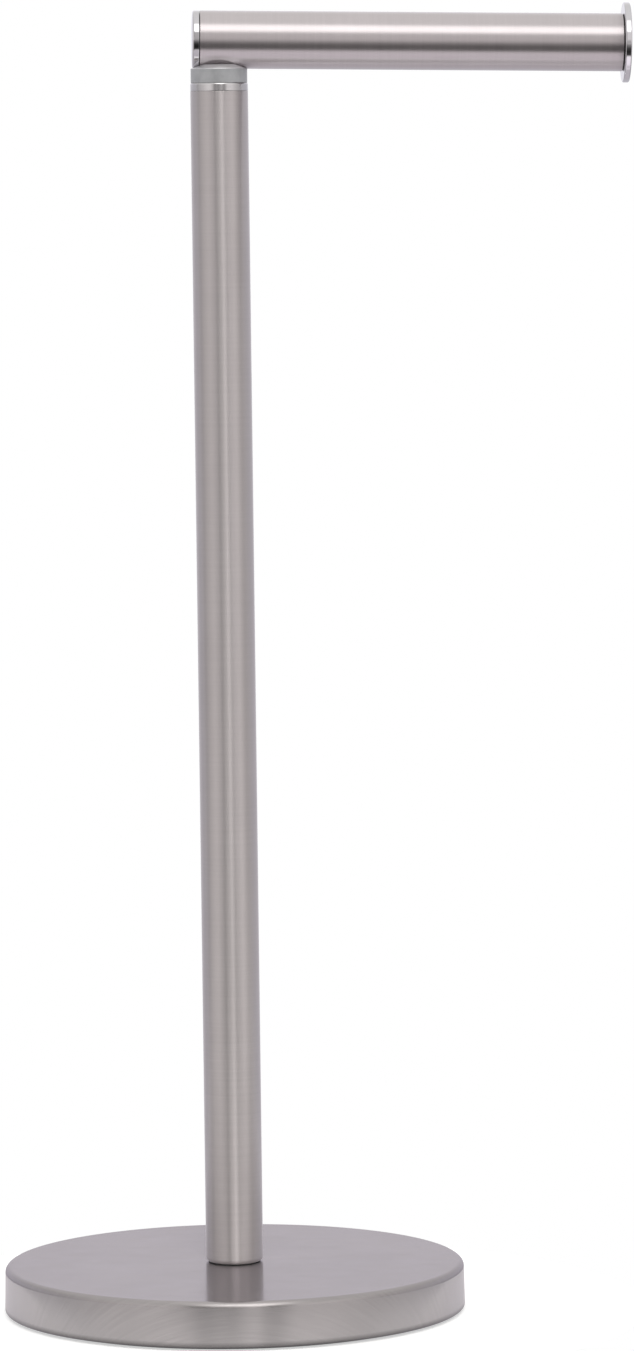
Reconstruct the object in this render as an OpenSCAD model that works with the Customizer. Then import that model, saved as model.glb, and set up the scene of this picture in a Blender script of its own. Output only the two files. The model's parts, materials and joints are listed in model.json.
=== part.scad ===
// Free-standing roll stand: a round weighted base, an upright tube and a
// horizontal bar that swivels on the upright and holds one paper roll.
//
// Millimetres. The origin is on the floor, on the axis of the upright.
// +Z is up and +X is the side that the bar points to at rest.

/* [Base] */
// Diameter of the base at its widest, near the floor
base_d = 202; // [180:2:240]
// Height of the base's top above the floor
base_h = 21; // [18:0.5:26]
// Sheet thickness of the pressed base cover
shell_t = 1.0; // [0.6:0.1:1.5]
// Outer radius of the rounded edge round the base's top
base_edge_r = 2.7; // [2:0.1:5]
// Lean of the skirt, in degrees; the base is wider at the floor
skirt_draft = 1.0; // [0:0.1:3]
// Thickness of the soft pad under the base
pad_t = 2.0; // [1:0.5:3]

/* [Upright] */
// Outer diameter of the upright and of the bar
tube_d = 25; // [22:0.5:32]
// Wall thickness of both tubes
tube_wall = 1.2; // [0.8:0.1:1.8]
// Height of the bar's axis where it crosses the upright's axis
bar_h = 555.5; // [450:0.5:650]
// Radius of the rounded lower edge of the upright
foot_r = 2.3; // [1.5:0.1:3]
// Thickness of the black gasket under the upright
gasket_t = 0.4; // [0.2:0.1:1.5]

/* [Neck] */
// Height of the polished collar that caps the upright
collar_h = 3.8; // [3:0.1:8]
// Radius of the collar's rounded upper shoulder
collar_edge_r = 1.1; // [0.5:0.1:1.5]
// Diameter of the cast neck between the collar and the bar
neck_d = 24.5; // [20:0.1:25]
// Height from the collar's lower edge to the bar's axis
neck_drop = 22.1; // [20:0.1:30]
// Slit between the collar, which stays still, and the neck, which turns
swivel_slit = 0.2; // [0.1:0.05:0.5]

/* [Bar] */
// From the upright's axis to the outer face of the end flange
bar_reach = 178.3; // [150:0.1:230]
// From the upright's axis back to the outer face of the rear cap
bar_back = 11.8; // [11.5:0.1:16]
// Slope of the bar below the horizontal, in degrees
bar_droop = 1.05; // [0:0.05:2]
// Thickness of the rear cap's head
cap_t = 3.3; // [2.5:0.1:6]
// Diameter of the end flange that keeps the roll on
flange_d = 34.7; // [30:0.1:45]
// Thickness of the end flange
flange_t = 3; // [2.5:0.1:6]
// Radius of the flange's rounded rim edges
flange_edge_r = 0.6; // [0.4:0.1:1.1]

/* [Swivel] */
// Diameter of the spindle's plain shoulder, which turns in the bushes
spindle_d = 10; // [9:0.5:11]
// Radial running clearance between the shoulder and the bushes
running_gap = 0.05; // [0.02:0.01:0.1]

/* [Hidden] */

$fn = 128;
eps = 0.01;

// Radii shared by the tubes and by what is pressed into them
tube_r = tube_d / 2;
tube_ir = tube_r - tube_wall;
plug_r = tube_ir - 0.05;

// M8 thread and standard M8 hardware
m8_r = 4;
m8_tapped_r = m8_r + 0.05;
m8_free_r = m8_r + 0.3;
m8_flats = 13;
m8_head_h = 5.3;
m8_nut_h = 8;
hex_r = m8_flats / 2 / cos(30);

// Base
base_r = base_d / 2;
curl_r = 1.2;
shell_foot_z = 1.0;
lip_w = 1.5;
cover_t = 1.0;
cover_z = pad_t;
weight_gap = 0.8;
weight_z0 = cover_z + cover_t + 0.2;
weight_z1 = base_h - shell_t;
skirt_z0 = shell_foot_z + curl_r;
skirt_z1 = base_h - base_edge_r;
skirt_top_r = base_r - (skirt_z1 - skirt_z0) * tan(skirt_draft);

// Bolt that holds the upright, from under the weight upwards
washer_t = 1.6;
washer_r = 12;
lock_t = 2.1;
lock_r = 7.05;
seat_z = weight_z1 - 6.5;
bolt_head_z = seat_z - washer_t - lock_t - m8_head_h;
bolt_len = 35;

// Upright
post_z0 = base_h + gasket_t;
post_z1 = bar_h - neck_drop;
gasket_r = tube_r - 1.2;
foot_lip_r = tube_r - 3.5;
foot_plug_h = 27;

// Collar and swivel
collar_z1 = post_z1 + collar_h;
collar_spigot_h = 24.6;
collar_spigot_z = post_z1 - collar_spigot_h;
bush_r = 6.95;
bush_len = 12;
bush_flange_r = 9.5;
bush_flange_t = 0.8;
bush_bore_r = spindle_d / 2 + running_gap;
neck_z0 = collar_z1 + swivel_slit;
neck_r = neck_d / 2;
thrust_t = 1.5;
spring_t = 0.7;
spring_h = 1.6;
lower_bush_z = collar_spigot_z - bush_flange_t;
thrust_z = lower_bush_z - 0.1 - thrust_t;
nut_z1 = thrust_z - spring_h;
nut_z0 = nut_z1 - m8_nut_h;
insert_z = nut_z0 + 0.4;
insert_h = 2.0;
insert_r = 5.6;
spindle_z0 = nut_z0 - 5;
spindle_z1 = bar_h + 5;

// Neck's bevelled top, measured down from the bar's axis
neck_rim_drop = 12.0;
neck_top_drop = 10.6;
neck_top_r = neck_r - 1.9;
neck_edge_r = 0.8;
neck_top_edge_r = 0.25;
// The neck's underside follows the collar's shoulder, this far from it
neck_wrap_gap = 0.12;
neck_wrap_r = collar_edge_r + neck_wrap_gap;
neck_wrap_cx = tube_r - collar_edge_r;
neck_wrap_cz = collar_z1 - collar_edge_r;
neck_wrap_angle = acos((neck_r - neck_wrap_cx) / neck_wrap_r);

// Bar, measured along its own axis from the upright's axis
cap_seam = 0.3;
cap_edge_r = 0.9;
cap_dome = 0.35;
cap_u0 = -bar_back;
cap_u1 = cap_u0 + cap_t;
bar_u0 = cap_u1 + cap_seam;
flange_u1 = bar_reach;
flange_u0 = flange_u1 - flange_t;
flange_gasket_t = 0.3;
bar_u1 = flange_u0 - flange_gasket_t;
slug_u0 = -5;
slug_u1 = 24;
cap_spigot_len = slug_u0 - 0.2 - cap_u1;
insert_len = 22;

// Points along an arc in a profile, from angle a0 to a1
function arc(cx, cy, r, a0, a1, n = 8) =
    [for (i = [0:n]) let(a = a0 + (a1 - a0) * i / n) [cx + r * cos(a), cy + r * sin(a)]];

// Puts its children on the bar's axis: their +Z runs along the bar, away from the upright
module on_bar() {
    translate([0, 0, bar_h]) rotate([0, 90 + bar_droop, 0]) children();
}

// A disc or ring standing on height z
module ring(z, h, r_out, r_in = 0) {
    translate([0, 0, z]) difference() {
        cylinder(h = h, r = r_out);
        if (r_in > 0) translate([0, 0, -1]) cylinder(h = h + 2, r = r_in);
    }
}

// Flanged sleeve with its flange's outer face at z = 0 and its sleeve going up
module flanged_bush() {
    difference() {
        union() {
            cylinder(h = bush_flange_t, r = bush_flange_r);
            cylinder(h = bush_flange_t + bush_len, r = bush_r);
        }
        translate([0, 0, -1]) cylinder(h = bush_len + 3, r = bush_bore_r);
    }
}

module base_pad() {
    color([0.12, 0.12, 0.12]) ring(0, pad_t, base_r - 5);
}

module bottom_cover() {
    color([0.55, 0.55, 0.56]) ring(cover_z, cover_t, base_r - 2);
}

// Cast dish: a thick top plate on an outer rim, a centre hub and six ribs
module base_weight() {
    rib_count = 6;
    rib_w = 5;
    rim_w = 8;
    plate_t = 7;
    hub_r = 22;
    weight_r = skirt_top_r - shell_t - weight_gap;
    plate_z = weight_z1 - plate_t;
    color([0.25, 0.25, 0.26]) difference() {
        union() {
            rotate_extrude() polygon(concat(
                [[0, plate_z], [weight_r, plate_z]],
                arc(weight_r - 2, weight_z1 - 2, 2, 0, 90),
                [[0, weight_z1]]));
            ring(weight_z0, plate_z - weight_z0 + eps, weight_r, weight_r - rim_w);
            ring(weight_z0, plate_z - weight_z0 + eps, hub_r);
            for (i = [0:rib_count - 1]) rotate(i * 360 / rib_count)
                translate([hub_r - 1, -rib_w / 2, weight_z0 + 2])
                    cube([weight_r - rim_w - hub_r + 2, rib_w, plate_z - weight_z0 - 2 + eps]);
        }
        translate([0, 0, -1]) cylinder(h = seat_z + 1, r = washer_r + 1.5);
        cylinder(h = base_h, r = m8_free_r);
    }
}

// Pressed dish: flat top, rounded edge, leaning skirt and an inward curl at the floor
module base_shell() {
    inner_top_r = skirt_top_r - shell_t;
    inner_edge_r = base_edge_r - shell_t;
    inner_curl_r = curl_r - shell_t;
    color([0.70, 0.68, 0.69]) rotate_extrude($fn = 256) polygon(concat(
        [[m8_free_r, base_h]],
        arc(skirt_top_r - base_edge_r, skirt_z1, base_edge_r, 90, 0),
        arc(base_r - curl_r, skirt_z0, curl_r, 0, -90),
        [[base_r - curl_r - lip_w, shell_foot_z],
         [base_r - curl_r - lip_w, shell_foot_z + shell_t]],
        arc(base_r - curl_r, skirt_z0, inner_curl_r, -90, 0, 2),
        arc(inner_top_r - inner_edge_r, skirt_z1, inner_edge_r, 0, 90),
        [[m8_free_r, base_h - shell_t]]));
}

module bolt_washer() {
    color([0.72, 0.72, 0.74]) ring(seat_z - washer_t, washer_t, washer_r, m8_free_r);
}

// Split ring
module lock_washer() {
    slit_w = 1.2;
    color([0.45, 0.45, 0.47]) difference() {
        ring(seat_z - washer_t - lock_t, lock_t, lock_r, m8_r + 0.1);
        translate([0, -slit_w / 2, 0]) cube([lock_r * 2, slit_w, base_h]);
    }
}

module post_bolt() {
    shank_z = bolt_head_z + m8_head_h;
    point_h = 1;
    color([0.68, 0.68, 0.70]) {
        translate([0, 0, bolt_head_z]) cylinder(h = m8_head_h, r = hex_r, $fn = 6);
        translate([0, 0, shank_z - eps]) cylinder(h = bolt_len - point_h + eps, r = m8_r);
        translate([0, 0, shank_z + bolt_len - point_h - eps])
            cylinder(h = point_h, r1 = m8_r, r2 = m8_r - point_h);
    }
}

module post_gasket() {
    color([0.06, 0.06, 0.06]) ring(base_h, gasket_t, gasket_r, m8_free_r);
}

// Threaded slug fixed in the foot of the upright
module foot_plug() {
    lip_top_z = post_z0 + tube_wall;
    chamfer = 1.2;
    color([0.60, 0.60, 0.62]) rotate_extrude() polygon([
        [m8_tapped_r, post_z0],
        [foot_lip_r - 0.1, post_z0],
        [foot_lip_r - 0.1, lip_top_z],
        [plug_r - chamfer, lip_top_z],
        [plug_r, lip_top_z + chamfer],
        [plug_r, post_z0 + foot_plug_h],
        [m8_tapped_r, post_z0 + foot_plug_h]]);
}

// Upright tube with its foot rolled in and its top edge eased
module post_tube() {
    ease = 0.2;
    color([0.68, 0.65, 0.65]) rotate_extrude() polygon(concat(
        [[foot_lip_r, post_z0]],
        arc(tube_r - foot_r, post_z0 + foot_r, foot_r, -90, 0),
        [[tube_r, post_z1 - ease], [tube_r - ease, post_z1], [tube_ir, post_z1]],
        arc(tube_r - foot_r, post_z0 + foot_r, foot_r - tube_wall, 0, -90),
        [[foot_lip_r, post_z0 + tube_wall]]));
}

// Polished band with a spigot pressed into the upright; holds the two bushes
module post_collar() {
    bush_seat = bush_flange_t - swivel_slit * 0.75;
    color([0.80, 0.79, 0.80]) difference() {
        rotate_extrude() polygon(concat(
            [[0, collar_spigot_z], [plug_r - 1, collar_spigot_z],
             [plug_r, collar_spigot_z + 1], [plug_r, post_z1], [tube_r, post_z1]],
            arc(tube_r - collar_edge_r, collar_z1 - collar_edge_r, collar_edge_r, 0, 90),
            [[0, collar_z1]]));
        translate([0, 0, collar_spigot_z - 1])
            cylinder(h = collar_spigot_h + collar_h + 2, r = bush_r + 0.02);
        translate([0, 0, collar_z1 - bush_seat]) cylinder(h = 1, r = bush_flange_r + 0.1);
    }
}

module upper_bush() {
    color([0.90, 0.90, 0.86])
        translate([0, 0, collar_z1 + swivel_slit * 0.75]) mirror([0, 0, 1]) flanged_bush();
}

module lower_bush() {
    color([0.90, 0.90, 0.86]) translate([0, 0, lower_bush_z]) flanged_bush();
}

// Cast neck: a short cylinder with a bevelled top that the bar sits down into
module neck() {
    rim_z = bar_h - neck_rim_drop;
    top_z = bar_h - neck_top_drop;
    color([0.56, 0.57, 0.58]) difference() {
        rotate_extrude() polygon(concat(
            [[0, neck_z0], [neck_wrap_cx - 0.2, neck_z0]],
            arc(neck_wrap_cx, neck_wrap_cz, neck_wrap_r, 80, neck_wrap_angle, 4),
            arc(neck_r - neck_edge_r, rim_z - neck_edge_r, neck_edge_r, 0, 48, 5),
            arc(neck_top_r - neck_top_edge_r, top_z - neck_top_edge_r, neck_top_edge_r, 48, 90, 2),
            [[0, top_z]]));
        translate([0, 0, neck_z0 - 1]) cylinder(h = neck_drop, r = m8_free_r);
        on_bar() translate([0, 0, -tube_d]) cylinder(h = 2 * tube_d, r = tube_r);
    }
}

// Shouldered stud: the upper thread clamps the neck and bar, the shoulder turns in the bushes
module swivel_spindle() {
    color([0.74, 0.74, 0.76]) {
        translate([0, 0, spindle_z0]) cylinder(h = nut_z1 - spindle_z0 + eps, r = m8_r);
        translate([0, 0, nut_z1]) cylinder(h = neck_z0 - nut_z1, r = spindle_d / 2);
        translate([0, 0, neck_z0 - eps]) cylinder(h = spindle_z1 - neck_z0 + eps, r = m8_r);
    }
}

module thrust_washer() {
    color([0.72, 0.72, 0.74]) ring(thrust_z, thrust_t, bush_flange_r, spindle_d / 2 + 0.1);
}

// Coned spring washer that gives the swivel its friction
module disc_spring() {
    r_in = spindle_d / 2 + 0.1;
    r_out = bush_flange_r - 0.5;
    color([0.40, 0.40, 0.42]) rotate_extrude() polygon([
        [r_in, nut_z1], [r_out, thrust_z - spring_t], [r_out, thrust_z],
        [r_in, nut_z1 + spring_t]]);
}

module lock_nut() {
    color([0.70, 0.70, 0.72]) difference() {
        translate([0, 0, nut_z0]) cylinder(h = m8_nut_h, r = hex_r, $fn = 6);
        translate([0, 0, nut_z0 - 1]) cylinder(h = m8_nut_h + 2, r = m8_tapped_r);
        translate([0, 0, insert_z]) cylinder(h = insert_h, r = insert_r);
    }
}

module nut_insert() {
    color([0.85, 0.85, 0.90]) ring(insert_z, insert_h, insert_r, m8_tapped_r);
}

// Solid slug inside the bar, tapped crosswise for the spindle
module bar_slug() {
    color([0.60, 0.60, 0.62]) difference() {
        on_bar() translate([0, 0, slug_u0]) cylinder(h = slug_u1 - slug_u0, r = plug_r);
        translate([0, 0, bar_h - tube_d]) cylinder(h = tube_d + 6, r = m8_tapped_r);
    }
}

module bar_tube() {
    color([0.76, 0.74, 0.74]) difference() {
        on_bar() ring(bar_u0, bar_u1 - bar_u0, tube_r, tube_ir);
        translate([0, 0, bar_h - tube_d]) cylinder(h = tube_d, r = m8_free_r + 0.2);
    }
}

// Polished cap with a slightly domed face and a short hollow spigot
module rear_cap() {
    spigot_wall = 1.5;
    color([0.86, 0.85, 0.87]) on_bar() rotate_extrude() polygon(concat(
        [[0, cap_u0], [tube_r - 4, cap_u0 + cap_dome * 0.4]],
        arc(tube_r - cap_edge_r, cap_u0 + cap_dome + cap_edge_r, cap_edge_r, -80, 0),
        [[tube_r, cap_u1 - 0.2], [tube_r - 0.2, cap_u1], [plug_r, cap_u1],
         [plug_r, cap_u1 + cap_spigot_len], [plug_r - spigot_wall, cap_u1 + cap_spigot_len],
         [plug_r - spigot_wall, cap_u1 - 1], [0, cap_u1 - 1]]));
}

// Tapped insert in the free end of the bar
module flange_insert() {
    color([0.30, 0.30, 0.32])
        on_bar() ring(bar_u1 - insert_len, insert_len, plug_r, m8_tapped_r);
}

module flange_gasket() {
    color([0.06, 0.06, 0.06]) on_bar() ring(bar_u1, flange_gasket_t, tube_r - 0.4, m8_free_r);
}

// Polished disc with rounded rim edges and its own threaded stud
module end_flange() {
    flange_r = flange_d / 2;
    stud_len = 16;
    face_dome = 0.2;
    color([0.86, 0.85, 0.87]) on_bar() rotate_extrude() polygon(concat(
        [[0, flange_u0 - stud_len], [m8_r, flange_u0 - stud_len], [m8_r, flange_u0]],
        arc(flange_r - flange_edge_r, flange_u0 + flange_edge_r, flange_edge_r, -90, 0),
        arc(flange_r - flange_edge_r, flange_u1 - face_dome - flange_edge_r,
            flange_edge_r, 0, 85),
        [[flange_r / 2, flange_u1 - face_dome / 3], [0, flange_u1]]));
}

base_pad();
bottom_cover();
base_weight();
base_shell();
bolt_washer();
lock_washer();
post_bolt();
post_gasket();
foot_plug();
post_tube();
post_collar();
upper_bush();
lower_bush();
neck();
swivel_spindle();
thrust_washer();
disc_spring();
lock_nut();
nut_insert();
bar_slug();
bar_tube();
rear_cap();
flange_insert();
flange_gasket();
end_flange();
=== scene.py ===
"""Looks of the free-standing roll stand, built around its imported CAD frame.

Metres. +Z is up and +X is the side that the bar points to at rest. Every piece is a solid
of revolution. Those on the bar are turned about the bar's axis, and their metals take
their coordinates along it.
"""

import math

import bmesh
import bpy
from mathutils import Matrix, Vector
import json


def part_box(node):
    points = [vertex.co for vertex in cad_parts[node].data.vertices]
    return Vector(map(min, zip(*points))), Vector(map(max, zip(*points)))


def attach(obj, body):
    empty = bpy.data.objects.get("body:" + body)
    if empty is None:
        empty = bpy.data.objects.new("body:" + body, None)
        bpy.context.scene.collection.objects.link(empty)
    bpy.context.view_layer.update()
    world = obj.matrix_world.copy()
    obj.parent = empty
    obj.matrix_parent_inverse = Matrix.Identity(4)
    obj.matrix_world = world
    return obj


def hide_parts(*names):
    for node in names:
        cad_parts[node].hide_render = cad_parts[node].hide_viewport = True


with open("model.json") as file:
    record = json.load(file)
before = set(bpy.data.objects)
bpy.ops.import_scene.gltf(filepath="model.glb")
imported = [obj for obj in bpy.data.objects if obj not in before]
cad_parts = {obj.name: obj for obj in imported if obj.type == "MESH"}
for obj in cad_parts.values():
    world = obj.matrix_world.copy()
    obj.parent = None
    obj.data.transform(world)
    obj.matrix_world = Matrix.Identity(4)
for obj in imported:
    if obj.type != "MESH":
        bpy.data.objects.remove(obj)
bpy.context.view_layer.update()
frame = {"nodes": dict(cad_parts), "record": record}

MM = 0.001
RECORD = frame["record"]

# ---------------------------------------------------------------- places read from the frame


def mount(name):
    """The record's mount of that name."""
    return next(m for m in RECORD["mounts"] if m["name"] == name)


BAR_AXIS = Vector(mount("roll_bar")["axis"]).normalized()
BAR_POINT = Vector(mount("roll_bar")["pos_m"])
# the point of the bar's axis that lies on the upright's axis
BAR_ORIGIN = BAR_POINT - BAR_AXIS * (BAR_POINT.x / BAR_AXIS.x)


def bar_frame():
    """Matrix whose local +Z runs along the bar, away from the upright, and local +Y is +Y."""
    side = Vector((0.0, 1.0, 0.0))
    down = side.cross(BAR_AXIS)
    rotation = Matrix((down, side, BAR_AXIS)).transposed()
    return Matrix.Translation(BAR_ORIGIN) @ rotation.to_4x4()


def span_on_bar(node, beyond=0.0):
    """(start, end) of a CAD node along the bar's axis, from the upright's axis.

    Only what lies at least a distance of beyond from the bar's axis is counted.
    """
    along = []
    for vert in frame["nodes"][node].data.vertices:
        offset = vert.co - BAR_ORIGIN
        u = offset.dot(BAR_AXIS)
        if (offset - BAR_AXIS * u).length >= beyond:
            along.append(u)
    return min(along), max(along)


SHELL_LOW, SHELL_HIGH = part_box("base_shell")
POST_LOW, POST_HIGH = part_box("post_tube")
COLLAR_LOW, COLLAR_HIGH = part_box("post_collar")
NECK_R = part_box("neck")[1].x
GASKET_LOW, GASKET_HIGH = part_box("post_gasket")
PAD_LOW, PAD_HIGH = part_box("base_pad")
FLANGE_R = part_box("end_flange")[1].y
FLANGE_RING_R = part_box("flange_gasket")[1].y

TUBE_R = POST_HIGH.x
TUBE_WALL = 1.2 * MM
# radius of the collar's and the cap's spigots inside the tubes
SPIGOT_R = TUBE_R - TUBE_WALL - 0.05 * MM
# radius of the collar's shoulder, which the neck's underside follows
COLLAR_SHOULDER = 1.1 * MM
# radius of the holes that the M8 parts pass through
M8_FREE_R = 4.3 * MM

BAR_FRAME = bar_frame()
BAR_START, BAR_END = span_on_bar("bar_tube")
CAP_START, CAP_END = span_on_bar("rear_cap")
CAP_BACK = span_on_bar("rear_cap", TUBE_R - 0.5 * MM)[1]

# ---------------------------------------------------------------- turned meshes

# points closer than this are one, and a radius below this lies on the axis
SAME_POINT = 1e-7
ON_AXIS = 1e-9


def arc(cx, cy, r, start, end, steps=12):
    """Points on an arc in a profile, from one angle to another, in degrees."""
    points = []
    for i in range(steps + 1):
        a = math.radians(start + (end - start) * i / steps)
        points.append((cx + r * math.cos(a), cy + r * math.sin(a)))
    return points


def clean(profile, closed):
    """The profile without points that repeat their neighbour."""
    kept = []
    for p in profile:
        if not kept or math.dist(p, kept[-1]) > SAME_POINT:
            kept.append(p)
    if closed and math.dist(kept[0], kept[-1]) < SAME_POINT:
        kept.pop()
    return kept


def held(profile, closed):
    """The profile with a point close to each end of its long straight runs.

    The rings there keep the shading of a straight wall from bending towards its rounded ends.
    """
    near, long_run = 0.05 * MM, 1.0 * MM
    kept = []
    for i, here in enumerate(profile):
        kept.append(here)
        if i == len(profile) - 1 and not closed:
            break
        after = profile[(i + 1) % len(profile)]
        run = math.dist(here, after)
        if run > long_run:
            for part in (near / run, 1.0 - near / run):
                kept.append(tuple(a + (b - a) * part for a, b in zip(here, after)))
    return kept


def turned(name, profile, segments=160, place=None, sharp_deg=24.0, sheet_map=False):
    """A solid of revolution about local Z from a profile of (radius, height) points.

    A profile that starts and ends on the axis makes a plug or disc. Any other is a closed
    loop and makes a ring. Ring edges where the profile turns sharply stay crisp. With
    sheet_map, a second UV map lays the profile out flat, as the sheet was before pressing.
    """
    closed = profile[0][0] > ON_AXIS or profile[-1][0] > ON_AXIS
    profile = held(clean(profile, closed), closed)
    bm = bmesh.new()
    uv = bm.loops.layers.uv.new("UVMap")
    sheet = bm.loops.layers.uv.new("sheet") if sheet_map else None
    rings = []
    for r, z in profile:
        if r < ON_AXIS:
            rings.append([bm.verts.new((0.0, 0.0, z))])
            continue
        ring = []
        for j in range(segments):
            a = 2 * math.pi * j / segments
            ring.append(bm.verts.new((r * math.cos(a), r * math.sin(a), z)))
        rings.append(ring)
    count = len(profile)
    spans = count if closed else count - 1
    length = [0.0]
    for i in range(spans):
        length.append(length[-1] + math.dist(profile[i], profile[(i + 1) % count]))
    for i in range(spans):
        low, high = rings[i], rings[(i + 1) % count]
        v0, v1 = length[i] / length[-1], length[i + 1] / length[-1]
        for j in range(segments):
            k = (j + 1) % segments
            u0, u1 = j / segments, (j + 1) / segments
            if len(low) == 1:
                corners = [(low[0], u0, v0), (high[k], u1, v1), (high[j], u0, v1)]
            elif len(high) == 1:
                corners = [(low[j], u0, v0), (low[k], u1, v0), (high[0], u0, v1)]
            else:
                corners = [(low[j], u0, v0), (low[k], u1, v0), (high[k], u1, v1), (high[j], u0, v1)]
            face = bm.faces.new([c[0] for c in corners])
            face.smooth = True
            for loop, (_, u, v) in zip(face.loops, corners):
                loop[uv].uv = (u, v)
                if sheet:
                    run = profile[0][0] + v * length[-1]
                    loop[sheet].uv = (run * math.cos(2 * math.pi * u), run * math.sin(2 * math.pi * u))
    crisp_rings(rings, profile, math.radians(sharp_deg))
    bmesh.ops.recalc_face_normals(bm, faces=bm.faces)
    return to_object(name, bm, place)


def crisp_rings(rings, profile, limit):
    """Marks as sharp the edges of each ring where the profile turns by more than limit."""
    count = len(profile)
    for i, ring in enumerate(rings):
        if len(ring) == 1:
            continue
        before, here, after = profile[i - 1], profile[i], profile[(i + 1) % count]
        one = math.atan2(here[1] - before[1], here[0] - before[0])
        two = math.atan2(after[1] - here[1], after[0] - here[0])
        turn = abs((two - one + math.pi) % (2 * math.pi) - math.pi)
        if turn < limit:
            continue
        for j, vert in enumerate(ring):
            follower = ring[(j + 1) % len(ring)]
            for edge in vert.link_edges:
                if edge.other_vert(vert) is follower:
                    edge.smooth = False


def to_object(name, bm, place=None):
    """An object from a bmesh, at a place given as a matrix."""
    if place is not None:
        bm.transform(place)
    mesh = bpy.data.meshes.new(name)
    bm.to_mesh(mesh)
    bm.free()
    obj = bpy.data.objects.new(name, mesh)
    bpy.context.scene.collection.objects.link(obj)
    return obj


# ---------------------------------------------------------------- materials

# most of a noise texture's values lie between these
NOISE_SPAN = (0.3, 0.7)
# shares of the fine and the coarse lines in the brushed grain
FINE_SHARE, COARSE_SHARE = 0.55, 0.45
# nearly black painted shade, at the foot of the base and in the seams of the bar and the cap
PAINTED_SHADE_TONE = (0.012, 0.011, 0.011)
GROOVE_SOFTNESS = 0.04 * MM
# heights between which painted shade darkens the base's foot, more towards the floor
FOOT_SHADE = (1.0 * MM, 3.8 * MM)
# depth of the brushed grain, and of the marks on what is turned and polished
BRUSHED_DEPTH = 0.0025 * MM
TURNED_DEPTH = 0.0015 * MM
# Z of the normals over which a cast part's side turns into its top, which is painted lighter
# as lit from above, and how metallic that top is
TOP_SPAN = (0.3, 0.7)
TOP_METALLIC = 0.8


def new_material(name):
    """A new material, its node tree, and the Principled shader that is its surface."""
    material = bpy.data.materials.new(name)
    material.use_nodes = True
    tree = material.node_tree
    tree.nodes.clear()
    output = tree.nodes.new("ShaderNodeOutputMaterial")
    shader = tree.nodes.new("ShaderNodeBsdfPrincipled")
    tree.links.new(shader.outputs["BSDF"], output.inputs["Surface"])
    return material, tree, shader


def own_place(tree, on_bar=False):
    """Coordinates of a surface point in metres, with Z up or, for the bar, along its axis."""
    where = tree.nodes.new("ShaderNodeTexCoord")
    if not on_bar:
        return where.outputs["Object"]
    turned_back = tree.nodes.new("ShaderNodeMapping")
    turned_back.vector_type = "TEXTURE"
    turned_back.inputs["Location"].default_value = BAR_FRAME.to_translation()
    turned_back.inputs["Rotation"].default_value = BAR_FRAME.to_euler()
    tree.links.new(where.outputs["Object"], turned_back.inputs["Vector"])
    return turned_back.outputs["Vector"]


def sheet_place(tree):
    """Coordinates in the flat sheet that the base cover was pressed from, in metres."""
    flat = tree.nodes.new("ShaderNodeUVMap")
    flat.uv_map = "sheet"
    return flat.outputs["UV"]


def noise(tree, place, scale, detail=2.0, roughness=0.5):
    """Noise over a place socket, with a scale for each of its axes, per metre."""
    mapping = tree.nodes.new("ShaderNodeMapping")
    mapping.inputs["Scale"].default_value = scale
    texture = tree.nodes.new("ShaderNodeTexNoise")
    texture.inputs["Scale"].default_value = 1.0
    texture.inputs["Detail"].default_value = detail
    texture.inputs["Roughness"].default_value = roughness
    tree.links.new(place, mapping.inputs["Vector"])
    tree.links.new(mapping.outputs["Vector"], texture.inputs["Vector"])
    return texture.outputs["Fac"]


def ranged(tree, value, low, high, source=NOISE_SPAN):
    """value, mapped from the source range to low..high."""
    node = tree.nodes.new("ShaderNodeMapRange")
    node.inputs["From Min"].default_value = source[0]
    node.inputs["From Max"].default_value = source[1]
    node.inputs["To Min"].default_value = low
    node.inputs["To Max"].default_value = high
    tree.links.new(value, node.inputs["Value"])
    return node.outputs["Result"]


def blended(tree, factor, one, two):
    """A colour between one and two by a factor socket. Either may be a socket or a colour."""
    node = tree.nodes.new("ShaderNodeMix")
    node.data_type = "RGBA"
    tree.links.new(factor, node.inputs["Factor"])
    for socket, colour in ((node.inputs["A"], one), (node.inputs["B"], two)):
        if isinstance(colour, bpy.types.NodeSocket):
            tree.links.new(colour, socket)
        else:
            socket.default_value = (*colour, 1.0)
    return node.outputs["Result"]


def added(tree, one, two, operation="ADD"):
    """one and two put through a Math node; either may be a socket or a number."""
    node = tree.nodes.new("ShaderNodeMath")
    node.operation = operation
    for socket, value in zip(node.inputs, (one, two)):
        if isinstance(value, bpy.types.NodeSocket):
            tree.links.new(value, socket)
        else:
            socket.default_value = value
    return node.outputs["Value"]


def bumped(tree, shader, height, distance):
    """Bump from a height socket, with its depth in metres."""
    node = tree.nodes.new("ShaderNodeBump")
    node.inputs["Distance"].default_value = distance
    tree.links.new(height, node.inputs["Height"])
    tree.links.new(node.outputs["Normal"], shader.inputs["Normal"])


def window(tree, value, low, high, soft):
    """1 where value lies between low and high, and 0 past them.

    The change is smooth, from a distance of soft inside each limit to the same outside it.
    """
    rise = tree.nodes.new("ShaderNodeMapRange")
    fall = tree.nodes.new("ShaderNodeMapRange")
    for node, start, end in ((rise, low - soft, low + soft), (fall, high + soft, high - soft)):
        node.interpolation_type = "SMOOTHSTEP"
        node.inputs["From Min"].default_value = start
        node.inputs["From Max"].default_value = end
        tree.links.new(value, node.inputs["Value"])
    return added(tree, rise.outputs["Result"], fall.outputs["Result"], "MULTIPLY")


def height_of(tree, place):
    """The Z part of a place socket."""
    parts = tree.nodes.new("ShaderNodeSeparateXYZ")
    tree.links.new(place, parts.inputs["Vector"])
    return parts.outputs["Z"]


def painted_groove_shade(tree, tone, place, groove):
    """tone, painted nearly black between the two places along Z that bound a groove, as shade in it.
    """
    mask = window(tree, height_of(tree, place), *groove, GROOVE_SOFTNESS)
    return blended(tree, mask, tone, PAINTED_SHADE_TONE)


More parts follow.
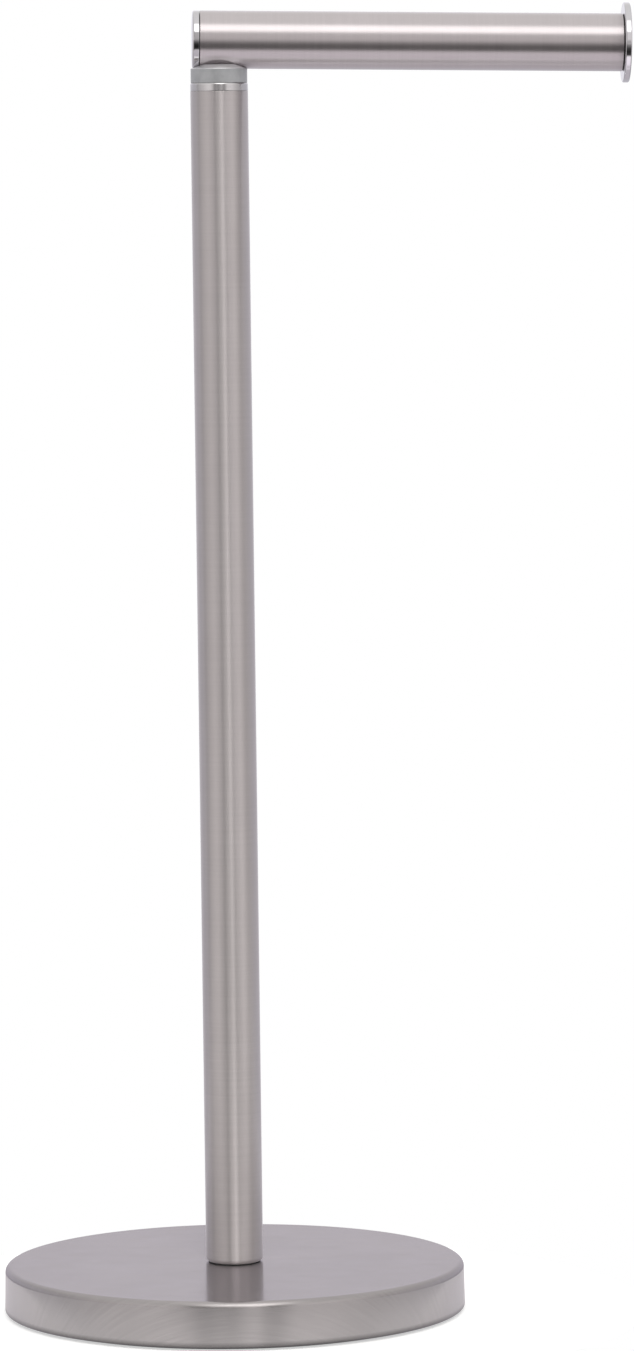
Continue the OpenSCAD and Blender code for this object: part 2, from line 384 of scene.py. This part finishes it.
def brushed_steel(
    name, dark, light, rough, spread=0.9, on_bar=False, sheet=False, edge_tint=None, groove=None
):
    """Satin steel. Its grain runs round the tube or disc, or straight along a pressed sheet.

    Light spreads across the grain: rough sets how much, and spread how much less along it.
    """
    material, tree, shader = new_material(name)
    if sheet:
        place = sheet_place(tree)
        fine = noise(tree, place, (40, 5200, 1), 2.0)
        coarse = noise(tree, place, (14, 900, 1), 4.0, 0.65)
    else:
        place = own_place(tree, on_bar)
        fine = noise(tree, place, (50, 50, 7000), 2.0)
        coarse = noise(tree, place, (22, 22, 700), 3.0)
    cloud = noise(tree, own_place(tree), (26, 26, 13), 3.0)
    smudge = noise(tree, own_place(tree), (70, 70, 55), 4.0, 0.6)
    fine_part = added(tree, fine, FINE_SHARE, "MULTIPLY")
    coarse_part = added(tree, coarse, COARSE_SHARE, "MULTIPLY")
    lines = added(tree, fine_part, coarse_part)
    tone = blended(tree, ranged(tree, lines, 0.0, 1.0, (0.32, 0.68)), dark, light)
    tone = blended(tree, ranged(tree, cloud, 0.0, 0.4), tone, dark)
    # painted shade in the groove of a seam
    if groove:
        tone = painted_groove_shade(tree, tone, place, groove)
    # painted shade along the base's foot, darker towards the floor
    if sheet:
        foot = ranged(tree, height_of(tree, own_place(tree)), 0.8, 0.0, FOOT_SHADE)
        tone = blended(tree, foot, tone, PAINTED_SHADE_TONE)
    tree.links.new(tone, shader.inputs["Base Color"])
    grain_rough = ranged(tree, lines, rough - 0.02, rough + 0.02)
    patch_rough = ranged(tree, smudge, -0.012, 0.012)
    tree.links.new(added(tree, grain_rough, patch_rough), shader.inputs["Roughness"])
    bumped(tree, shader, lines, BRUSHED_DEPTH)
    grain = tree.nodes.new("ShaderNodeTangent")
    grain.direction_type = "UV_MAP"
    grain.uv_map = "sheet" if sheet else "UVMap"
    tree.links.new(grain.outputs["Tangent"], shader.inputs["Tangent"])
    shader.inputs["Metallic"].default_value = 1.0
    shader.inputs["Anisotropic"].default_value = spread
    # a quarter of a turn from the tangent, so that light spreads across the grain
    shader.inputs["Anisotropic Rotation"].default_value = 0.25
    if edge_tint:
        shader.inputs["Specular Tint"].default_value = (*edge_tint, 1.0)
    return material


def turned_metal(name, colour, shade, rough, on_bar=False, groove=None):
    """Plated or polished metal: nearly mirror-smooth, with faint haze and turning marks."""
    material, tree, shader = new_material(name)
    place = own_place(tree, on_bar)
    haze = noise(tree, place, (90, 90, 90), 4.0)
    marks = noise(tree, place, (40, 40, 5000), 2.0)
    base = blended(tree, ranged(tree, haze, 0.0, 1.0), colour, shade)
    # painted shade in the groove of a seam
    if groove:
        base = painted_groove_shade(tree, base, place, groove)
    tree.links.new(base, shader.inputs["Base Color"])
    tree.links.new(ranged(tree, haze, rough * 0.6, rough * 1.6), shader.inputs["Roughness"])
    bumped(tree, shader, marks, TURNED_DEPTH)
    shader.inputs["Metallic"].default_value = 1.0
    return material


def cast_metal(
    name, colour, shade, rough, grit=700, depth=0.00003, patches=160, metallic=1.0, painted_light_top=None
):
    """Cast surface: mottled tone, fine grit and soft patches of gloss.

    With a top colour, what faces up is painted in it, lighter as lit from above, and is more metallic.
    """
    material, tree, shader = new_material(name)
    place = own_place(tree)
    mottle = noise(tree, place, (patches, patches, patches), 4.0, 0.6)
    grain = noise(tree, place, (grit, grit, grit), 3.0, 0.6)
    base = blended(tree, ranged(tree, mottle, 0.0, 1.0), colour, shade)
    # painted light: what faces up is lighter, as lit from above
    if painted_light_top:
        facing = tree.nodes.new("ShaderNodeNewGeometry")
        upward = height_of(tree, facing.outputs["Normal"])
        base = blended(tree, ranged(tree, upward, 0.0, 1.0, TOP_SPAN), base, painted_light_top)
        bare = ranged(tree, upward, metallic, TOP_METALLIC, TOP_SPAN)
        tree.links.new(bare, shader.inputs["Metallic"])
    tree.links.new(base, shader.inputs["Base Color"])
    tree.links.new(ranged(tree, mottle, rough - 0.08, rough + 0.1), shader.inputs["Roughness"])
    bumped(tree, shader, grain, depth)
    shader.inputs["Metallic"].default_value = metallic
    return material


def moulded(name, colour, shade, rough, grit=900, depth=0.00002, specular=0.4):
    """Plastic, rubber or paint: a slightly uneven tone over a fine texture."""
    material, tree, shader = new_material(name)
    place = own_place(tree)
    patches = noise(tree, place, (120, 120, 120), 3.0)
    grain = noise(tree, place, (grit, grit, grit), 2.0)
    base = blended(tree, ranged(tree, patches, 0.0, 1.0), colour, shade)
    tree.links.new(base, shader.inputs["Base Color"])
    tree.links.new(ranged(tree, grain, rough - 0.06, rough + 0.06), shader.inputs["Roughness"])
    bumped(tree, shader, grain, depth)
    shader.inputs["Specular IOR Level"].default_value = specular
    return material


MATERIALS = {
    "brushed_base": brushed_steel(
        "brushed_base", (0.305, 0.288, 0.291), (0.395, 0.373, 0.376), 0.235,
        spread=1.0, sheet=True, edge_tint=(0.97, 0.94, 1.0),
    ),
    "brushed_post": brushed_steel(
        "brushed_post", (0.54, 0.507, 0.510), (0.60, 0.563, 0.567), 0.42,
        spread=1.0,
    ),
    "brushed_bar": brushed_steel(
        "brushed_bar", (0.505, 0.470, 0.483), (0.555, 0.517, 0.531), 0.38,
        # painted shade in the seam between the bar's end and the cap
        on_bar=True, groove=(BAR_START - 1 * MM, BAR_START + 0.05 * MM),
    ),
    "turned_steel": brushed_steel("turned_steel", (0.45, 0.45, 0.46), (0.56, 0.56, 0.57), 0.25),
    "polished_chrome": turned_metal(
        "polished_chrome", (0.56, 0.55, 0.575), (0.51, 0.50, 0.525), 0.06,
        # painted shade in the seam between the cap and the bar's end
        on_bar=True, groove=(CAP_BACK - 0.08 * MM, CAP_END + 1 * MM),
    ),
    "polished_zinc": turned_metal("polished_zinc", (0.54, 0.53, 0.54), (0.46, 0.45, 0.46), 0.14),
    "zinc_plated": turned_metal("zinc_plated", (0.55, 0.56, 0.60), (0.48, 0.50, 0.52), 0.22),
    "cast_zinc": cast_metal(
        "cast_zinc", (0.335, 0.345, 0.358), (0.42, 0.43, 0.443), 0.42,
        # the neck's top is painted lighter, as lit from above
        metallic=0.35, painted_light_top=(0.80, 0.80, 0.82),
    ),
    "cast_iron": cast_metal(
        "cast_iron", (0.055, 0.055, 0.058), (0.10, 0.095, 0.09), 0.62,
        grit=260, depth=0.0002, patches=60,
    ),
    "spring_steel": cast_metal(
        "spring_steel", (0.09, 0.09, 0.10), (0.15, 0.15, 0.16), 0.40,
        grit=900, depth=0.00001,
    ),
    "cover_sheet": moulded("cover_sheet", (0.20, 0.20, 0.21), (0.26, 0.26, 0.27), 0.45),
    "black_rubber": moulded("black_rubber", (0.012, 0.012, 0.012), (0.022, 0.022, 0.022), 0.6),
    "foam_pad": moulded(
        "foam_pad", (0.022, 0.022, 0.023), (0.045, 0.045, 0.046), 0.85,
        grit=1800, depth=0.0001, specular=0.2,
    ),
    "nylon": moulded("nylon", (0.72, 0.71, 0.66), (0.80, 0.79, 0.74), 0.38),
    "black_nylon": moulded("black_nylon", (0.03, 0.03, 0.033), (0.05, 0.05, 0.052), 0.42),
}
SLOT_OF = {row["node"]: row["material_slot"] for row in RECORD["subparts"]}
BODY_OF = {n: body for body, nodes in RECORD["behaviour"]["bodies"].items() for n in nodes}


def stands_for(piece, node):
    """The piece rides on its CAD node's body, hides it and takes its material slot."""
    piece.data.materials.append(MATERIALS[SLOT_OF[node]])
    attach(piece, BODY_OF[node])
    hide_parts(node)
    return piece


# ---------------------------------------------------------------- base


def base_cover():
    """Pressed cover: flat top, rounded edge, leaning skirt, and an inward curl at the floor."""
    sheet_t, edge, curl = 1.0 * MM, 2.7 * MM, 1.2 * MM
    hole, lip, lean, flat_rings = M8_FREE_R, 1.5 * MM, math.radians(1.0), 10
    r_low, top, foot = SHELL_HIGH.x, SHELL_HIGH.z, SHELL_LOW.z
    z_low, z_high = foot + curl, top - edge
    r_high = r_low - (z_high - z_low) * math.tan(lean)
    profile = [(hole, top), *arc(r_high - edge, z_high, edge, 90, 0, 14)]
    profile += arc(r_low - curl, z_low, curl, 0, -90, 8)
    profile += [(r_low - curl - lip, foot), (r_low - curl - lip, foot + sheet_t)]
    profile += arc(r_low - curl, z_low, curl - sheet_t, -90, 0, 3)
    profile += arc(r_high - edge, z_high, edge - sheet_t, 0, 90, 8)
    profile += [(hole, top - sheet_t)]
    # rings across the flat top, so that the sheet's grain stays straight on it
    width = r_high - edge - hole
    profile[1:1] = [(hole + width * i / flat_rings, top) for i in range(1, flat_rings)]
    return turned("base_cover", profile, 320, sheet_map=True)


def floor_pad():
    """Soft disc under the base with eased edges."""
    r, ease = PAD_HIGH.x, 0.4 * MM
    low, high = PAD_LOW.z, PAD_HIGH.z
    profile = [(0.0, low), *arc(r - ease, low + ease, ease, -90, 0, 4)]
    profile += [*arc(r - ease, high - ease, ease, 0, 90, 4), (0.0, high)]
    return turned("floor_pad", profile, 256)


def foot_gasket():
    """Black ring under the upright with a slightly bulged rim."""
    low, high, r = GASKET_LOW.z, GASKET_HIGH.z, GASKET_HIGH.x
    half, bulge = (high - low) / 2, 0.6
    rim_x = r - half * bulge
    rim = arc(rim_x, low + half, half, -90, 90, 8)
    rim = [(rim_x + (x - rim_x) * bulge, z) for x, z in rim]
    return turned("foot_gasket", [(M8_FREE_R, low), *rim, (M8_FREE_R, high)], 128)


stands_for(base_cover(), "base_shell")
stands_for(floor_pad(), "base_pad")
stands_for(foot_gasket(), "post_gasket")

# ---------------------------------------------------------------- upright and collar


def upright():
    """Tube with its foot rolled in and its top edge eased."""
    foot_r, lip_r, ease = 2.3 * MM, TUBE_R - 3.5 * MM, 0.2 * MM
    z0, z1 = POST_LOW.z, POST_HIGH.z
    corner = TUBE_R - foot_r
    profile = [(lip_r, z0), *arc(corner, z0 + foot_r, foot_r, -90, 0, 14)]
    profile += arc(TUBE_R - ease, z1 - ease, ease, 0, 90, 4)
    profile += [(TUBE_R - TUBE_WALL, z1)]
    profile += arc(corner, z0 + foot_r, foot_r - TUBE_WALL, 0, -90, 8)
    profile += [(lip_r, z0 + TUBE_WALL)]
    return turned("upright", profile, 192)


def collar():
    """Polished band with a rounded shoulder, and its spigot inside the upright."""
    z0, band, top = COLLAR_LOW.z, POST_HIGH.z, COLLAR_HIGH.z
    bore_r, seat_r, seat_z = 6.97 * MM, 9.6 * MM, top - 0.65 * MM
    shoulder, ease, lead_in = COLLAR_SHOULDER, 0.15 * MM, 1 * MM
    profile = [(bore_r, z0), (SPIGOT_R - lead_in, z0), (SPIGOT_R, z0 + lead_in), (SPIGOT_R, band)]
    profile += [(TUBE_R - ease, band), *arc(TUBE_R - ease, band + ease, ease, -90, 0, 3)]
    profile += arc(TUBE_R - shoulder, top - shoulder, shoulder, 0, 90, 12)
    profile += [(seat_r, top), (seat_r, seat_z), (bore_r, seat_z)]
    return turned("collar", profile, 192)


stands_for(upright(), "post_tube")
stands_for(collar(), "post_collar")

# ---------------------------------------------------------------- neck


def saddle_height(x, y):
    """Height of the bar's underside over a point, with a hair's clearance."""
    slope, clearance = BAR_AXIS.z / BAR_AXIS.x, 0.02 * MM
    axis_z = BAR_ORIGIN.z + x * slope
    reach = max(0.0, TUBE_R**2 - y * y)
    return axis_z - math.sqrt(reach) / BAR_AXIS.x - clearance


def cast_neck():
    """Short cylinder with a bevelled top that the bar sits down into, bored for the spindle."""
    r, bore, edge, steps = NECK_R, M8_FREE_R, 0.8 * MM, 20
    rim_z = BAR_ORIGIN.z - 12.0 * MM
    top_z = BAR_ORIGIN.z - 10.6 * MM
    bevel_width, flattening = 2.9 * MM, 1.05
    top_r = r - bevel_width
    # the underside follows the collar's shoulder
    slit, shoulder_gap = 0.2 * MM, 0.12 * MM
    seat, wrap_r = COLLAR_HIGH.z + slit, COLLAR_SHOULDER + shoulder_gap
    wrap_x, wrap_z = TUBE_R - COLLAR_SHOULDER, COLLAR_HIGH.z - COLLAR_SHOULDER
    wrap_end = math.degrees(math.acos((r - wrap_x) / wrap_r))
    side = [(bore, seat), (wrap_x - 0.2 * MM, seat), *arc(wrap_x, wrap_z, wrap_r, 80, wrap_end, 6)]
    side += [(r, rim_z - edge - 1.0 * MM), *arc(r - edge, rim_z - edge, edge, 0, 48, 8)]
    # the bevel flattens out towards the bar
    r0, z0 = side[-1]
    top = []
    for i in range(1, steps + 1):
        t = i / steps
        top.append((r0 + (top_r - r0) * t, z0 + (top_z - z0) * (1.0 - (1.0 - t) ** flattening)))
    # rings across the flat top, for the saddle to be cut from
    top += [(top_r + (bore - top_r) * i / steps, top_z) for i in range(1, steps + 1)]
    neck = turned("cast_neck", [*side, *top], 256, sharp_deg=30)
    for vert in neck.data.vertices:
        limit = saddle_height(vert.co.x, vert.co.y)
        if vert.co.z > limit:
            vert.co.z = limit
    # rings of the bore that the saddle cuts off fall together
    bm = bmesh.new()
    bm.from_mesh(neck.data)
    bmesh.ops.remove_doubles(bm, verts=bm.verts, dist=SAME_POINT)
    bm.to_mesh(neck.data)
    bm.free()
    return neck


stands_for(cast_neck(), "neck")

# ---------------------------------------------------------------- bar, cap and flange


def bar():
    """Horizontal tube with eased ends."""
    ease, inner = 0.15 * MM, TUBE_R - TUBE_WALL
    profile = [(inner, BAR_START), *arc(TUBE_R - ease, BAR_START + ease, ease, -90, 0, 3)]
    profile += [*arc(TUBE_R - ease, BAR_END - ease, ease, 0, 90, 3), (inner, BAR_END)]
    return turned("bar", profile, 192, BAR_FRAME)


def rear_cap():
    """Polished cap with a slightly domed face, a rounded rim and a hollow spigot."""
    rim, dome, ease, flat = 0.9 * MM, 0.35 * MM, 0.2 * MM, TUBE_R - 4 * MM
    flat_dome, steps = dome * 0.4, 8
    hollow_r, hollow_end = SPIGOT_R - 1.5 * MM, CAP_BACK - 1 * MM
    face = [(flat * i / steps, CAP_START + flat_dome * (i / steps) ** 2) for i in range(steps + 1)]
    profile = [*face, *arc(TUBE_R - rim, CAP_START + dome + rim, rim, -78, 0, 12)]
    profile += [*arc(TUBE_R - ease, CAP_BACK - ease, ease, 0, 90, 4), (SPIGOT_R, CAP_BACK)]
    profile += [(SPIGOT_R, CAP_END), (hollow_r, CAP_END), (hollow_r, hollow_end), (0.0, hollow_end)]
    return turned("cap", profile, 192, BAR_FRAME)


def end_flange():
    """Polished disc with rounded rim edges, a faintly domed face and its stud."""
    start, end = span_on_bar("end_flange")
    inner = span_on_bar("end_flange", TUBE_R)[0]
    r, rim, dome, stud, tip = FLANGE_R, 0.6 * MM, 0.2 * MM, 4.0 * MM, 0.6 * MM
    flat, face_drop, steps = r - rim, dome * 1.03, 8
    profile = [(0.0, start), (stud - tip, start), (stud, start + tip), (stud, inner)]
    profile += arc(flat, inner + rim, rim, -90, 0, 14)
    profile += arc(flat, end - dome - rim, rim, 0, 86, 14)
    for i in range(1, steps + 1):
        t = 1 - i / steps
        profile.append((flat * t, end - face_drop * t**1.5))
    return turned("flange", profile, 224, BAR_FRAME)


def flange_ring():
    """Thin black ring between the bar's end and the flange."""
    start, end = span_on_bar("flange_gasket")
    inner, outer = M8_FREE_R, FLANGE_RING_R
    profile = [(inner, start), (outer, start), (outer, end), (inner, end)]
    return turned("flange_ring", profile, 128, BAR_FRAME)


stands_for(bar(), "bar_tube")
stands_for(rear_cap(), "rear_cap")
stands_for(end_flange(), "end_flange")
stands_for(flange_ring(), "flange_gasket")

# ---------------------------------------------------------------- CAD nodes that stay

for node, obj in frame["nodes"].items():
    if obj.hide_render:
        continue
    obj.data.materials.clear()
    obj.data.materials.append(MATERIALS[SLOT_OF[node]])

# ---------------------------------------------------------------- stage, light and camera

FLOOR_R = 0.18
# the floor lies this far below the pad, so that the two share no plane
FLOOR_DROP = 0.1 * MM
# radiance of the surroundings at each elevation in degrees, in front and behind
FRONT = [
    (-90, 1.12), (-60, 1.32), (-43, 1.40), (-37, 0.08), (-28, 0.03), (-18, 0.08), (-9, 0.34),
    (-3, 0.76), (4, 1.04), (12, 1.06), (28, 1.02), (60, 1.16), (90, 1.15),
]
BEHIND = [
    (-90, 0.82), (-50, 0.72), (-12, 0.70), (-2, 0.84), (5, 1.02), (40, 1.02), (90, 1.15),
]
# colour of the surroundings around the horizon in front and behind, overhead, and below
FRONT_TINT = (1.0, 0.965, 0.95)
BEHIND_TINT = (1.0, 0.985, 1.045)
HIGH_TINT = (1.0, 0.99, 0.965)
LOW_TINT = (1.0, 0.945, 0.99)
# azimuths from, to and softness that count as in front, for the radiance and for the tint
FRONT_SPAN = (-45, 45, 12)
FRONT_TINT_SPAN = (-100, 100, 30)
# elevations over which the tint turns into the one overhead, and into the one below
HIGH_FADE = (15, 35)
LOW_FADE = (-50, -35)
# what the surroundings are multiplied by at each azimuth, counted from the front to the right,
# and the elevations from, to and softness at which they are
BY_AZIMUTH = [
    (-180, 1.04), (-165, 1.04), (-146, 0.88), (-125, 0.80), (-105, 0.86), (-98, 0.62), (-92, 0.78),
    (-80, 0.94), (-60, 1.06), (-46, 1.14), (-35, 1.08), (-27, 0.86), (-21, 0.36), (-15, 0.36),
    (-10, 0.54), (-6, 0.34), (-2, 0.36), (2, 0.72), (6, 1.12), (11, 1.16), (15, 0.66), (20, 0.36),
    (25, 0.70), (31, 1.24), (42, 1.34), (54, 1.26), (66, 1.04), (80, 0.80), (95, 0.84), (146, 0.88),
    (165, 1.04), (180, 1.04),
]
AZIMUTH_SPAN = (-75, 38, 8)
# azimuth from, to, softness; elevation from, to, softness; radiance added there
PATCHES = [
    (-18, 28, 14, 32, 62, 6, 2.5),
    (-60, 50, 20, -2, 6, 3, 0.16),
    (2, 16, 3, -2, 6, 3, -0.45),
]
# the stops' levels stay below the first, and the surroundings never fall below the second
LEVEL_MAX = 2.0
LEVEL_MIN = 0.02


def pale_floor():
    """A round white table top under the stand."""
    bm = bmesh.new()
    bmesh.ops.create_circle(bm, cap_ends=True, segments=160, radius=FLOOR_R)
    floor = to_object("floor", bm, Matrix.Translation((0.0, 0.0, -FLOOR_DROP)))
    material, tree, shader = new_material("floor")
    tone = noise(tree, own_place(tree), (3, 3, 3), 2.0)
    white = blended(tree, ranged(tree, tone, 0.0, 1.0), (0.58, 0.58, 0.585), (0.61, 0.61, 0.61))
    tree.links.new(white, shader.inputs["Base Color"])
    shader.inputs["Roughness"].default_value = 0.8
    shader.inputs["Specular IOR Level"].default_value = 0.2
    # a little light of its own makes the table read as plain white
    shader.inputs["Emission Color"].default_value = (1.0, 1.0, 1.0, 1.0)
    shader.inputs["Emission Strength"].default_value = 0.53
    floor.data.materials.append(material)


def ramp(tree, value, low, high, stops):
    """A level that follows (value, level) stops from low to high."""
    node = tree.nodes.new("ShaderNodeValToRGB")
    node.color_ramp.interpolation = "LINEAR"
    marks = node.color_ramp.elements
    while len(marks) < len(stops):
        marks.new(0.5)
    for mark, (at, level) in zip(marks, stops):
        mark.position = (at - low) / (high - low)
        share = level / LEVEL_MAX
        mark.color = (share, share, share, 1.0)
    tree.links.new(ranged(tree, value, 0.0, 1.0, (low, high)), node.inputs["Fac"])
    split = tree.nodes.new("ShaderNodeSeparateColor")
    tree.links.new(node.outputs["Color"], split.inputs["Color"])
    return added(tree, split.outputs["Red"], LEVEL_MAX, "MULTIPLY")


def studio():
    """White surroundings with a softbox high in front, and a dark band past the table there."""
    world = bpy.data.worlds.new("studio")
    bpy.context.scene.world = world
    world.use_nodes = True
    tree = world.node_tree
    tree.nodes.clear()
    where = tree.nodes.new("ShaderNodeTexCoord")
    parts = tree.nodes.new("ShaderNodeSeparateXYZ")
    tree.links.new(where.outputs["Generated"], parts.inputs["Vector"])
    up = added(tree, parts.outputs["Z"], 1.0, "ARCSINE")
    elevation = added(tree, up, math.degrees(1), "MULTIPLY")
    front = added(tree, parts.outputs["Y"], -1.0, "MULTIPLY")
    turn = added(tree, parts.outputs["X"], front, "ARCTAN2")
    azimuth = added(tree, turn, math.degrees(1), "MULTIPLY")
    front_share = window(tree, azimuth, *FRONT_SPAN)
    warm_share = window(tree, azimuth, *FRONT_TINT_SPAN)
    front_part = added(tree, ramp(tree, elevation, -90, 90, FRONT), front_share, "MULTIPLY")
    rear_share = added(tree, 1.0, front_share, "SUBTRACT")
    rear_part = added(tree, ramp(tree, elevation, -90, 90, BEHIND), rear_share, "MULTIPLY")
    base = added(tree, front_part, rear_part)
    around = ramp(tree, azimuth, -180, 180, BY_AZIMUTH)
    share = window(tree, elevation, *AZIMUTH_SPAN)
    change = added(tree, added(tree, around, -1.0), share, "MULTIPLY")
    level = added(tree, base, added(tree, change, 1.0), "MULTIPLY")
    for a0, a1, a_soft, e0, e1, e_soft, amount in PATCHES:
        patch = added(
            tree,
            window(tree, azimuth, a0, a1, a_soft),
            window(tree, elevation, e0, e1, e_soft),
            "MULTIPLY",
        )
        level = added(tree, level, added(tree, patch, amount, "MULTIPLY"))
    level = added(tree, level, LEVEL_MIN, "MAXIMUM")
    tint = blended(tree, warm_share, BEHIND_TINT, FRONT_TINT)
    tint = blended(tree, ranged(tree, elevation, 0.0, 1.0, HIGH_FADE), tint, HIGH_TINT)
    tint = blended(tree, ranged(tree, elevation, 1.0, 0.0, LOW_FADE), tint, LOW_TINT)
    seen = tree.nodes.new("ShaderNodeBackground")
    lit = tree.nodes.new("ShaderNodeBackground")
    tree.links.new(tint, lit.inputs["Color"])
    tree.links.new(level, lit.inputs["Strength"])
    seen.inputs["Color"].default_value = (1.0, 1.0, 1.0, 1.0)
    path = tree.nodes.new("ShaderNodeLightPath")
    pick = tree.nodes.new("ShaderNodeMixShader")
    output = tree.nodes.new("ShaderNodeOutputWorld")
    tree.links.new(path.outputs["Is Camera Ray"], pick.inputs["Fac"])
    tree.links.new(lit.outputs["Background"], pick.inputs[1])
    tree.links.new(seen.outputs["Background"], pick.inputs[2])
    tree.links.new(pick.outputs["Shader"], output.inputs["Surface"])


def soft_light(name, place, aim, size, power):
    """An area light that fills the matt surfaces and shows in no reflection."""
    data = bpy.data.lights.new(name, "AREA")
    data.shape = "RECTANGLE"
    data.size, data.size_y = size
    data.energy = power
    obj = bpy.data.objects.new(name, data)
    bpy.context.scene.collection.objects.link(obj)
    obj.location = place
    obj.rotation_mode = "QUATERNION"
    obj.rotation_quaternion = (Vector(aim) - Vector(place)).to_track_quat("-Z", "Y")
    obj.visible_camera = False
    obj.visible_glossy = False


def camera():
    """A long lens almost level with the bar, rolled a little, as in the photograph."""
    data = bpy.data.cameras.new("camera")
    data.sensor_width = 36.0
    data.lens = 177.2
    data.clip_start, data.clip_end = 0.1, 50.0
    side, tilt, roll = math.radians(-2.2), math.radians(4.861), math.radians(-0.696)
    distance, across, height = 2.8897, 0.0393, 0.5247
    level_right = Vector((math.cos(side), math.sin(side), 0.0))
    level_ahead = Vector((-math.sin(side), math.cos(side), 0.0))
    ahead = level_ahead * math.cos(tilt) - Vector((0.0, 0.0, math.sin(tilt)))
    level_up = level_right.cross(ahead)
    right = level_right * math.cos(roll) + level_up * math.sin(roll)
    up = level_up * math.cos(roll) - level_right * math.sin(roll)
    obj = bpy.data.objects.new("camera", data)
    bpy.context.scene.collection.objects.link(obj)
    rotation = Matrix((right, up, -ahead)).transposed().to_4x4()
    place = level_right * across - level_ahead * distance
    place.z = height
    obj.matrix_world = Matrix.Translation(place) @ rotation
    bpy.context.scene.camera = obj


pale_floor()
studio()
soft_light("key", place=(0.1, 0.3, 1.9), aim=(0.0, 0.0, 0.0), size=(1.6, 1.6), power=4.0)
camera()
bpy.context.scene.view_settings.view_transform = "Standard"
